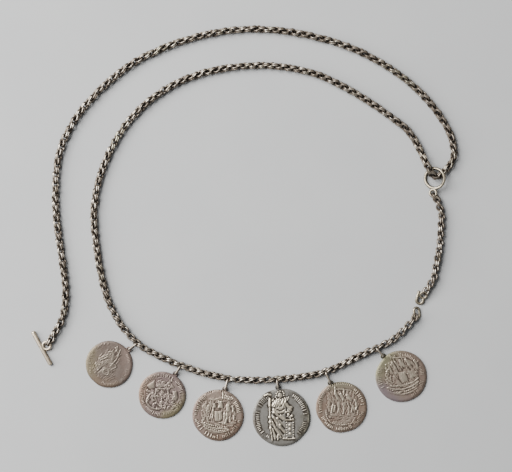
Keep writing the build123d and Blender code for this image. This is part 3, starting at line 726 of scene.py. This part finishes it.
LEANING_FIGURE = [
    ("strokes", 60, 4, (-60, -44), (-8, 12), 44),
    ("strokes", 60, 4, (-44, -22), (14, 44), 40),
    ("strokes", 60, 4, (-10, 4), (46, 64), 48),
    ("strokes", 50, 4, (-30, -62), (24, -20), 30),
    ("strokes", 60, 3, (-72, -50), (-30, 6), 60),
    ("strokes", 60, 3, (-50, -70), (10, -34), 30),
    ("plate", 50, 12, (-12, 54), (18, 56), (30, 34), (22, 8), (30, -10), (2, -44), (-44, -36), (-56, -4),
     (-38, 26)),
    ("cord", 70, 7, (37, 76), (34, 57), (42, 46)),
    ("cord", 75, 7, (-2, 53), (16, 55), (21, 40)),
    ("cord", 70, 8, (17, 37), (14, 20)),
    ("cord", 75, 6, (-42, 25), (-5, 42)),
    ("cord", 75, 6, (-35, 19), (-7, 32)),
    ("cord", 75, 6, (-55, 8), (-52, -8), (-42, -28)),
    ("dots", 85, 9, (-25, 15), (-27, 5), (-40, -2), (-46, -24), (30, 70), (8, 44)),
    ("groove", 70, 6, (-55, -37), (-25, -12), (-5, 2)),
    ("groove", 55, 5, (-36, 12), (-14, 22), (4, 26)),
    ("cord", 75, 6, (-12, -18), (-22, -23), (-25, -33), (-18, -44), (-6, -45), (1, -34), (-2, -22), (-12, -18)),
    ("cord", 70, 6, (7, 3), (27, -2), (31, -12), (13, -22)),
    ("groove", 50, 6, (-12, -32), (-8, -33)),
    ("cord", 45, 4, (-36, 82), (-30, 90)),
    ("cord", 45, 4, (-20, 84), (-16, 92)),
    ("cord", 45, 4, (-4, 85), (-2, 92)),
    ("cord", 65, 6, (8, -8), (34, 24), (50, 62)),
    ("curls", 50, 4, (-34, -66), (20, -48)),
    ("curls", 50, 4, (-20, -12), (18, 20)),
]


def soft_step(values):
    """A soft rise from 0 to 1 as the values do."""
    values = np.clip(values, 0, 1)
    return values * values * (3 - 2 * values)


def off_line(x, y, first, second):
    """How far each place is from a straight line between two points."""
    run = np.subtract(second, first)
    share = np.clip(((x - first[0]) * run[0] + (y - first[1]) * run[1]) / max(run @ run, 1e-12), 0, 1)
    return np.hypot(x - first[0] - share * run[0], y - first[1] - share * run[1])


def cord(x, y, width, points):
    """A round ridge of height 1 along a row of points."""
    off = np.min([off_line(x, y, *ends) for ends in zip(points, points[1:])], axis=0)
    return np.sqrt(np.clip(1 - (2 * off / width) ** 2, 0, 1))


def dots(x, y, width, points):
    """Round grains of height 1."""
    return np.max([cord(x, y, width, [point, point]) for point in points], axis=0)


def plate(x, y, soft, points):
    """A shape of height 1 inside a row of points, whose edge falls away over a soft width."""
    off = np.full(x.shape, np.inf)
    inside = np.zeros(x.shape, bool)
    for (x1, y1), (x2, y2) in zip(points, points[1:] + points[:1]):
        off = np.minimum(off, off_line(x, y, (x1, y1), (x2, y2)))
        if y1 != y2:
            inside ^= ((y1 > y) != (y2 > y)) & (x < (x2 - x1) * (y - y1) / (y2 - y1) + x1)
    fall = np.clip(off / soft, 0, 1)
    return np.where(inside, np.sqrt(1 - (1 - fall) ** 2), 0)


def spaced(points, gap):
    """Points at even gaps along a row of points."""
    places = []
    for first, second in zip(points, points[1:]):
        count = max(1, round(math.dist(first, second) / gap))
        places.extend(np.linspace(first, second, count, endpoint=False))
    return [*places, points[-1]]


def curls(x, y, width, low, high, chance):
    """Small struck scrolls that fill a box of ornament."""
    corners, bend, room, faintest = 5, 0.8, 0.0105, 0.5
    smallest, largest = 0.025, 0.06
    height = np.zeros(x.shape)
    for _ in range(int((high[0] - low[0]) * (high[1] - low[1]) / room)):
        middle_x, middle_y = chance.uniform(low[0], high[0]), chance.uniform(low[1], high[1])
        size, first = chance.uniform(smallest, largest), chance.uniform(0, 2 * math.pi)
        arc = [first + corner * bend for corner in range(corners)]
        points = [(middle_x + size * math.cos(turn), middle_y + size * math.sin(turn)) for turn in arc]
        height = np.maximum(height, chance.uniform(faintest, 1.0) * cord(x, y, width, points))
    return height


def strokes(x, y, width, low, high, lean, chance):
    """Short struck lines that lean one way, in degrees, in a box of ornament."""
    room, shake, fade, faintest = 0.0060, 10, 0.04, 0.4
    shortest, longest = 0.03, 0.10
    height = np.zeros(x.shape)
    for _ in range(int((high[0] - low[0]) * (high[1] - low[1]) / room)):
        middle = np.array((chance.uniform(low[0], high[0]), chance.uniform(low[1], high[1])))
        angle = math.radians(lean + chance.uniform(-shake, shake))
        half = chance.uniform(shortest, longest) * np.array((math.cos(angle), math.sin(angle)))
        line = cord(x, y, width, [middle - half, middle + half])
        height = np.maximum(height, chance.uniform(faintest, 1.0) * line)
    return height * soft_step((ORNAMENT_REACH - np.hypot(x, y)) / fade)


def motif(x, y, rows, chance):
    """The relief of a motif's rows. Cords add to what they cross, and ornament lies half sunk in the rest."""
    bead_gap, cord_over, cord_added, half_sunk = 1.6, 0.55, 0.45, 0.5
    height, ornament = np.zeros(x.shape), np.zeros(x.shape)
    for kind, rise, width, *points in rows:
        rise, width = rise / 100, width / 100
        if kind == "strokes":
            *points, lean = points
        points = [(across / 100, up / 100) for across, up in points]
        if kind == "plate":
            height = np.maximum(height, rise * plate(x, y, width, points))
        elif kind == "groove":
            height = height - rise * cord(x, y, width, points)
        elif kind == "dots":
            height = np.maximum(height, rise * dots(x, y, width, points))
        elif kind == "beads":
            height = np.maximum(height, rise * dots(x, y, width, spaced(points, bead_gap * width)))
        elif kind == "curls":
            ornament = np.maximum(ornament, rise * curls(x, y, width, *points, chance))
        elif kind == "strokes":
            ornament = np.maximum(ornament, rise * strokes(x, y, width, *points, lean, chance))
        else:
            ridge = cord(x, y, width, points)
            height = np.maximum(height, cord_over * rise * ridge) + cord_added * rise * ridge
    return np.maximum(height, ornament) + half_sunk * np.minimum(np.maximum(height, 0), ornament)


def legend(x, y, chance, spans):
    """Short plain bars round the edge, single or in pairs, in groups with a gap between them."""
    lengths = [(LEGEND_FROM, LEGEND_TO), (LEGEND_FROM, LEGEND_TO), (LEGEND_FROM + LEGEND_SHORTER, LEGEND_TO),
               (LEGEND_FROM, LEGEND_TO - LEGEND_SHORTER)]
    height = np.zeros(x.shape)
    left = 0
    for place in range(int(360 / LEGEND_STEP)):
        turn = place * LEGEND_STEP + chance.uniform(-LEGEND_SHAKE, LEGEND_SHAKE)
        shape = chance.integers(0, len(lengths))
        left = left - 1 if left else chance.integers(FEWEST_BARS, MOST_BARS + 1)
        if left == 0 or not any(low <= turn <= high for low, high in spans):
            continue
        for beside in ((-LEGEND_HALF_PAIR, LEGEND_HALF_PAIR) if shape else (0,)):
            angle = math.radians(turn + beside)
            ends = [(reach * math.cos(angle), reach * math.sin(angle)) for reach in lengths[shape]]
            height = np.maximum(height, cord(x, y, LEGEND_BAR, ends))
    return height


def blurred(values, times):
    """Values on the face's grid, each softened into its neighbours."""
    for _ in range(times):
        for axis in (0, 1):
            padded = np.concatenate([values.take([0], axis), values, values.take([-1], axis)], axis)
            count = values.shape[axis]
            low, high = (padded.take(range(start, start + count), axis) for start in (0, 2))
            values = values / 2 + (low + high) / 4
    return values


def face_grid(steps):
    """A square grid pressed into a circle of radius 1, with its cells nearly equal."""
    line = np.linspace(-1, 1, steps + 1)
    across, up = np.meshgrid(line, line, indexing="ij")
    wide = np.abs(across) > np.abs(up)
    reach = np.where(wide, across, up)
    with np.errstate(divide="ignore", invalid="ignore"):
        share = np.nan_to_num(np.where(wide, up / across, across / up))
    turn = math.pi / 4 * share
    x = np.where(wide, reach * np.cos(turn), reach * np.sin(turn))
    y = np.where(wide, reach * np.sin(turn), reach * np.cos(turn))
    return x, y


def coin_relief(coin, x, y, chance):
    """The height of a coin's face, from 0 in the field to about 1, before it is worn."""
    nick_from, bare_from, bare_soft = 0.1, 0.7, 0.5
    out, turn = np.hypot(x, y), np.degrees(np.arctan2(y, x)) % 360
    height = motif(x, y, coin["motif"], chance)
    height = np.maximum(height, coin["words"] * legend(x, y, chance, coin["legend"]))
    inner_ring = np.exp(-(((out - INNER_RING_AT) / INNER_RING_SOFT) ** 2))
    height = np.maximum(height, coin["inner_ring"] * inner_ring)
    for low, high in coin["nicks"]:
        shown = (turn > low) & (turn < high) & (out > NICKS_FROM)
        height = height - shown * NICK_DEPTH * (np.cos(np.radians(turn) * NICKS_ROUND) > nick_from)
    for patch_x, patch_y, size in coin["bare"]:
        height = height * soft_step((np.hypot(x - patch_x, y - patch_y) / size - bare_from) / bare_soft)
    return height


def coin_silver(coin):
    """Toned silver: bright where the relief stands up, and dark where it is deep."""
    cloud_size, grain_size, grain_depth = 5.0, 0.7, 0.03
    zone_cloud, zone_share, cloud_share, grain_share = 0.9, 0.75, 0.55, 0.45
    relief_share, raised_share, deep_grain = 0.85, 0.55, 0.30
    clouds, heights, depths = (0.40, 0.60), (0.50, 1.15), (0.54, 0.82)
    material, start, shader = new_material(coin["name"] + "_silver")
    relief, hollow = marked(start, "relief"), marked(start, "hollow")
    place = start.node("ShaderNodeSeparateXYZ", values={0: start.node("ShaderNodeTexCoord").out("Object")})
    cloud = speckle(start, cloud_size, 4.0)
    grain = speckle(start, grain_size)
    skin = (cloud * cloud_share + grain * grain_share).ramp(*clouds).blend(coin["field"], coin["toned"])
    radius = coin["across"] * MM / 2
    for colour, way, first, last in coin["zones"]:
        aside = (place.out("X") - coin["x"] * MM) * (math.cos(math.radians(way)) / radius)
        above = (place.out("Y") - coin["y"] * MM) * (math.sin(math.radians(way)) / radius)
        zone = (aside + above + (cloud - 0.5) * zone_cloud).ramp(first, last)
        skin = (zone * zone_share).blend(skin, colour)
    high = relief * relief_share + (1 - hollow) * raised_share + (grain - 0.5) * grain_share
    high = high.ramp(*heights)
    deep = (hollow + (grain - 0.5) * deep_grain).ramp(*depths) * coin["dark"]
    skin = (high * coin["bright"]).blend(skin, WORN_BRIGHT)
    feed(
        shader,
        Base_Color=deep.blend(skin, TARNISH),
        Metallic=0.80,
        Roughness=0.48 - high * 0.12 + deep * 0.2,
        Normal=bumped(start, grain, grain_depth),
    )
    return material


def torus(centre, way, rise, across, wire):
    """A round eye of wire whose flat follows a way on the table and climbs by the rise, in radians."""
    way = Vector((way[0] * math.cos(rise), way[1] * math.cos(rise), math.sin(rise)))
    beside = Vector((-way.y, way.x, 0)).normalized()
    up = way.cross(beside)
    corners, faces = [], []
    for step in range(EYE_ROUNDS):
        turn = 2 * math.pi * step / EYE_ROUNDS
        out = way * math.cos(turn) + beside * math.sin(turn)
        for side in range(EYE_SIDES):
            bend = 2 * math.pi * side / EYE_SIDES
            reach = (across - wire) / 2 + wire / 2 * math.cos(bend)
            corners.append(centre + out * reach + up * (wire / 2 * math.sin(bend)))
            after, over = (step + 1) % EYE_ROUNDS * EYE_SIDES, (side + 1) % EYE_SIDES
            faces.append((step * EYE_SIDES + side, after + side, after + over, step * EYE_SIDES + over))
    return corners, faces


def round_from(turn, at):
    """How far round the coin each place is from an angle in degrees, in radians either way."""
    return np.angle(np.exp(1j * (turn - math.radians(at))))


def hollowness(coin, worn, out, turn):
    """How deep each place counts as, from 0 to 1: below its surroundings, at the rounded margin as painted shade,
    or between the bars.
    """
    level, soft, soft_outside = 0.5, 0.05, 0.04
    fine, broad = blurred(worn, FINE_BLUR), blurred(worn, BROAD_BLUR)
    # The rounded margin counts as deeper, so that it is painted darker, as painted shade.
    margin = soft_step((out - EDGE_ROUNDS_FROM) / soft)
    turn = np.degrees(turn) % 360
    band = np.any([(turn > low) & (turn < high) for low, high in coin["legend"]], axis=0)
    band = band * soft_step((out - BAND_FROM) / soft) * soft_step((BAND_TO - out) / soft_outside)
    deep = level + (fine - worn) * FINE_SHARE + (broad - worn) * BROAD_SHARE + margin * MARGIN_SHADE_SHARE
    return np.clip(deep + band * coin["band"], 0, 1)


def coin_face(coin, x, y):
    """A coin's face: its places in millimetres, and how high and how hollow each of them is."""
    chance = np.random.default_rng(coin["seed"])
    out, turn = np.hypot(x, y), np.arctan2(y, x)
    worn = blurred(coin_relief(coin, x, y, chance), coin["wear"])
    rounding = EDGE_DROP * np.clip((out - EDGE_ROUNDS_FROM) / (1 - EDGE_ROUNDS_FROM), 0, 1) ** 2
    ridge = np.exp(-(((out - RIM_AT) / RIM_SOFT) ** 2))
    rim = sum(rise * ridge * (np.abs(round_from(turn, at)) < math.radians(wide)) for at, wide, rise in coin["rims"])
    top = COIN_THICKNESS + worn * RELIEF * coin["struck"] + rim - rounding
    edge = 1 - sum(short * np.exp(-((round_from(turn, at) / math.radians(wide)) ** 2))
                   for at, wide, short in coin["flats"])
    edge = edge + EDGE_WAVE * np.cos(turn * EDGE_WAVES + coin["seed"]) - EDGE_WAVE
    scale = (coin["across"] / 2 - EDGE_BULGE) * (1 + (edge - 1) * out ** 4)
    return np.stack([x * scale, y * scale, top], -1), worn, hollowness(coin, worn, out, turn)


def coin_body(coin):
    """A coin's corners from the middle of its back, its faces, and how high and how hollow each corner is."""
    face, *shades = coin_face(coin, *face_grid(FACE_STEPS))
    steps = FACE_STEPS + 1
    corners = list(face.reshape(-1, 3))
    shades = [shade.reshape(-1) for shade in shades]
    index = np.arange(steps * steps).reshape(steps, steps)
    faces = np.stack([index[:-1, :-1], index[1:, :-1], index[1:, 1:], index[:-1, 1:]], -1).reshape(-1, 4).tolist()
    border = np.concatenate([index[:-1, 0], index[-1, :-1], index[:0:-1, -1], index[0, :0:-1]])
    outline = np.array([corners[place] for place in border])
    way_out = outline[:, :2] / np.linalg.norm(outline[:, :2], axis=1)[:, None]
    rings = [border]
    for wider, height in EDGE_LINES:
        first = len(corners)
        corners.extend(np.column_stack([outline[:, :2] + way_out * wider, outline[:, 2] * height]))
        rings.append(np.arange(first, first + len(border)))
        shades = [np.append(shade, np.full(len(border), value)) for shade, value in zip(shades, EDGE_SHADES)]
    for upper, lower in zip(rings, rings[1:]):
        for a, b, c, d in zip(upper, np.roll(upper, -1), np.roll(lower, -1), lower):
            faces.append((a, d, c, b))
    centre = len(corners)
    corners.append(np.zeros(3))
    shades = [np.append(shade, BACK_SHADE) for shade in shades]
    for a, b in zip(rings[-1], np.roll(rings[-1], -1)):
        faces.append((a, centre, b))
    return corners, faces, shades


def make_coin(coin):
    """One coin with its eye, in place of its CAD node."""
    corners, faces, shades = coin_body(coin)
    way = Vector((coin["hang"][0] - coin["x"], coin["hang"][1] - coin["y"])).normalized()
    sink = (EYE_ACROSS - EYE_WIRE) / 2 * math.sin(math.radians(EYE_TILT))
    reach = coin["across"] / 2 + EYE_REACH
    middle = Vector((way.x * reach, way.y * reach, COIN_THICKNESS / 2 + sink))
    eye_corners, eye_faces = torus(middle, way, math.radians(EYE_TILT), EYE_ACROSS, EYE_WIRE)
    first = len(corners)
    corners.extend(np.array(corner) for corner in eye_corners)
    faces.extend(tuple(first + place for place in face) for face in eye_faces)
    shades = [np.append(shade, np.full(len(eye_corners), value)) for shade, value in zip(shades, EYE_SHADES)]

    mesh = bpy.data.meshes.new(coin["name"])
    places = (np.array(corners) + (coin["x"], coin["y"], 0)) * MM
    mesh.from_pydata(places.tolist(), [], [tuple(int(place) for place in face) for face in faces])
    mark(mesh, "relief", shades[0])
    mark(mesh, "hollow", shades[1])
    mesh.shade_smooth()
    mesh.materials.append(coin_silver(coin))
    made = placed(coin["name"] + "_struck", mesh)
    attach(made, "root")
    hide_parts(coin["name"])


# One row a coin, from left to right. Struck is how high its relief stands, and dark and bright are how much its
# deep and its high places show. Words are how high its bars stand, and the band how dark it is between them. The
# field's colour clouds into the toned one.
# Zones are more toning colours, which come in from one side: the way in degrees, and where along it, in shares of
# the radius, the colour starts and is full. Bare patches are worn smooth: x, y and size. Flats are where the edge
# was struck short, and rims where it stands up: the angle, the width either way, and how much. Nicks run from one
# angle to another. A coin has the plain coin's values for what its row leaves out.
PLAIN_COIN = {"wear": 1, "rims": [], "bare": [], "nicks": []}
COINS = [
    {"name": "coin_1", "across": 25.9, "x": -74.8, "y": -70.7, "hang": (-59.2, -58.9), "motif": LEANING_FIGURE,
     "seed": 11, "struck": 0.44, "dark": 0.60, "bright": 0.30, "inner_ring": 0.06,
     "legend": [(0, 30), (112, 210), (250, 360)], "words": 0.5, "band": 0.00,
     "bare": [(0.56, -0.06, 0.22)], "flats": [(228, 14, 0.025)],
     "field": (0.207, 0.165, 0.139), "toned": (0.160, 0.121, 0.100),
     "zones": [((0.25, 0.21, 0.13), 175, 0.30, 0.9), ((0.30, 0.22, 0.185), 5, 0.45, 1.0),
               ((0.24, 0.17, 0.12), 260, 0.45, 1.0)]},
    {"name": "coin_2", "across": 26.1, "x": -45.6, "y": -87.6, "hang": (-35.4, -71.2), "motif": SMALL_CREST,
     "seed": 12, "struck": 0.45, "dark": 0.85, "bright": 0.44, "inner_ring": 0.35,
     "legend": [(0, 360)], "words": 0.65, "band": 0.05,
     "flats": [(75, 20, 0.015)],
     "field": (0.31, 0.24, 0.21), "toned": (0.26, 0.19, 0.18),
     "zones": [((0.32, 0.22, 0.155), 165, 0.35, 0.95), ((0.31, 0.28, 0.15), 310, 0.40, 1.0)]},
    {"name": "coin_3", "across": 28.4, "x": -14.9, "y": -98.7, "hang": (-9.4, -78.4), "motif": SHIP_UNDER_SAIL,
     "seed": 13, "struck": 0.69, "dark": 0.85, "bright": 0.88, "inner_ring": 0.12,
     "legend": [(0, 68), (112, 360)], "words": 0.70, "band": 0.07,
     "nicks": [(72, 118)], "bare": [(-0.04, 0.86, 0.20)], "flats": [(225, 22, 0.030)],
     "field": (0.381, 0.302, 0.246), "toned": (0.302, 0.224, 0.179),
     "zones": [((0.28, 0.185, 0.135), 305, 0.40, 0.85), ((0.30, 0.22, 0.19), 190, 0.45, 1.05)]},
    {"name": "coin_4", "across": 31.9, "x": 20.1, "y": -99.8, "hang": (17.6, -78.9), "motif": FIGURE_AT_A_COLUMN,
     "seed": 14, "struck": 1.0, "dark": 1.0, "bright": 1.0, "inner_ring": 0.0,
     "legend": [(0, 74), (118, 238), (312, 360)], "words": 0.56, "band": 0.16,
     "rims": [(-4, 28, 0.22)], "flats": [(100, 18, 0.015), (318, 14, 0.02)],
     "field": (0.315, 0.300, 0.272), "toned": (0.255, 0.24, 0.212),
     "zones": [((0.19, 0.18, 0.13), 350, 0.60, 1.0), ((0.21, 0.18, 0.15), 190, 0.65, 1.1)]},
    {"name": "coin_5", "across": 28.2, "x": 53.1, "y": -94.3, "hang": (44.2, -74.7), "motif": SHIP_AT_SEA,
     "seed": 15, "struck": 0.52, "dark": 0.80, "bright": 0.74, "inner_ring": 0.10,
     "legend": [(0, 62), (118, 360)], "words": 0.78, "band": 0.05,
     "nicks": [(66, 116)], "flats": [(215, 12, 0.025), (282, 12, 0.02)],
     "field": (0.372, 0.294, 0.236), "toned": (0.302, 0.213, 0.168),
     "zones": [((0.35, 0.25, 0.18), 350, 0.50, 0.95), ((0.30, 0.215, 0.16), 180, 0.50, 0.95),
               ((0.28, 0.265, 0.18), 88, 0.50, 1.0)]},
    {"name": "coin_6", "across": 28.4, "x": 86.0, "y": -77.3, "hang": (72.1, -61.6), "motif": SHIP_IN_WAVES,
     "seed": 16, "struck": 0.57, "dark": 0.80, "bright": 0.70, "inner_ring": 0.08, "wear": 2,
     "legend": [(0, 118), (160, 215), (300, 360)], "words": 0.66, "band": 0.02,
     "flats": [(150, 20, 0.02)],
     "field": (0.347, 0.269, 0.213), "toned": (0.302, 0.224, 0.179),
     "zones": [((0.29, 0.29, 0.17), 150, 0.30, 0.9), ((0.29, 0.235, 0.26), 235, 0.35, 1.0)]},
]
for coin in COINS:
    make_coin({**PLAIN_COIN, **coin})

# The table is plain and pale, under soft studio light: a large soft box at the upper left, a weak one low at the
# left, and a pale room all round.
TABLE_REACH = 3.0
TABLE_CLOUD = 60.0
TABLE_PALE, TABLE_GREY = (0.57, 0.575, 0.57), (0.55, 0.555, 0.555)
ROOM_COLOUR = (0.95, 0.97, 1.0, 1)
ROOM_LIGHT = 0.14
table = bpy.data.meshes.new("table")
corners = [(-1, -1), (1, -1), (1, 1), (-1, 1)]
table.from_pydata([(x * TABLE_REACH, y * TABLE_REACH, 0) for x, y in corners], [], [(0, 1, 2, 3)])
table_material, table_start, table_shader = new_material("table")
cloud = speckle(table_start, TABLE_CLOUD, 2.0).ramp(0.3, 0.7)
feed(table_shader, Base_Color=cloud.blend(TABLE_PALE, TABLE_GREY), Roughness=0.8)
table.materials.append(table_material)
placed("table", table)


def soft_box(name, place, size, power):
    """A square area light that faces the middle of the necklace."""
    light = bpy.data.lights.new(name, "AREA")
    light.size = size
    light.energy = power
    made = placed(name, light)
    made.location = place
    made.rotation_euler = (Vector((0, 0, 0)) - Vector(place)).to_track_quat("-Z", "Y").to_euler()


soft_box("key", place=(-0.95, 0.6, 1.15), size=1.3, power=56)
soft_box("side", place=(-1.0, -0.05, 0.35), size=0.5, power=8)
world = bpy.data.worlds.new("studio")
world.use_nodes = True
room = world.node_tree.nodes["Background"]
room.inputs["Color"].default_value = ROOM_COLOUR
room.inputs["Strength"].default_value = ROOM_LIGHT
bpy.context.scene.world = world
